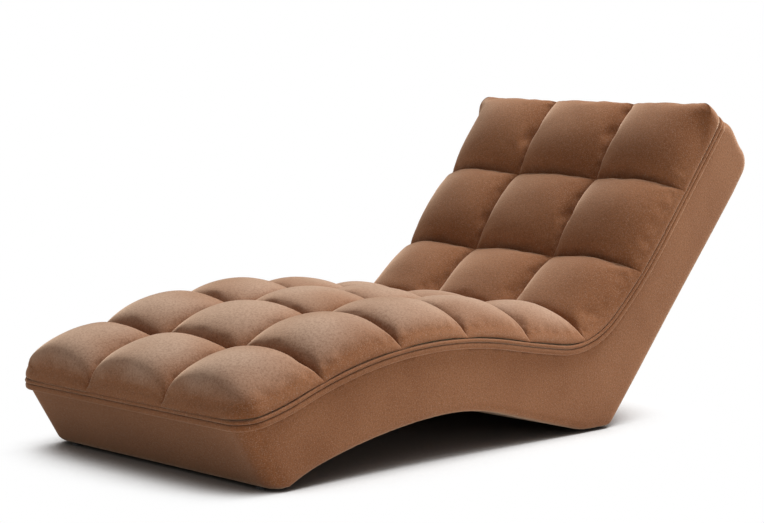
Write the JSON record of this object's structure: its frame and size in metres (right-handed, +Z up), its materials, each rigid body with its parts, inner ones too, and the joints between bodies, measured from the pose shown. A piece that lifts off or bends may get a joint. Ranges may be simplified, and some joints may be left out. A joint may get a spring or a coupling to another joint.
{
  "type": "chaise longue",
  "caption": "Armless upholstered chaise longue: a quilted seat and raised back in one curved line, on a shell with an arched underside.",
  "frame": {"origin": "on the floor, under the middle of the length and the width", "axes": "+Z up, +Y along the length towards the raised head end, +X across the width"},
  "size_m": [0.82, 1.714, 0.775],
  "materials": {
    "velour_pad": "matte",
    "velour_shell": "matte",
    "wadding": "matte",
    "foam": "matte",
    "plywood": "matte",
    "timber": "matte",
    "screw_steel": "satin",
    "glide_plastic": "matte"
  },
  "bodies": {
    "root": {"arch_board": "plywood", "arch_cover": "velour_shell", "arch_padding": "wadding", "arch_rail_1": "timber", "arch_rail_2": "timber", "arch_rail_3": "timber", "back_deck": "plywood", "back_foam": "foam", "back_pad": "velour_pad", "back_rail_1": "timber", "back_rail_2": "timber", "back_rail_3": "timber", "foot_board": "plywood", "foot_cover": "velour_shell", "foot_padding": "wadding", "foot_rail": "timber", "head_board": "plywood", "left_cover": "velour_shell", "left_foot_glide": "glide_plastic", "left_frame_screws": "screw_steel", "left_padding": "wadding", "left_rear_glide": "glide_plastic", "left_side_panel": "plywood", "pad_lip": "velour_pad", "rear_board": "plywood", "rear_cover": "velour_shell", "rear_padding": "wadding", "rear_rail": "timber", "right_cover": "velour_shell", "right_foot_glide": "glide_plastic", "right_frame_screws": "screw_steel", "right_padding": "wadding", "right_rear_glide": "glide_plastic", "right_side_panel": "plywood", "seat_deck": "plywood", "seat_foam": "foam", "seat_pad": "velour_pad", "seat_rail_1": "timber", "seat_rail_2": "timber", "seat_rail_3": "timber", "seat_rail_4": "timber", "seat_rail_5": "timber", "welt_band": "velour_shell"}
  },
  "joints": []
}
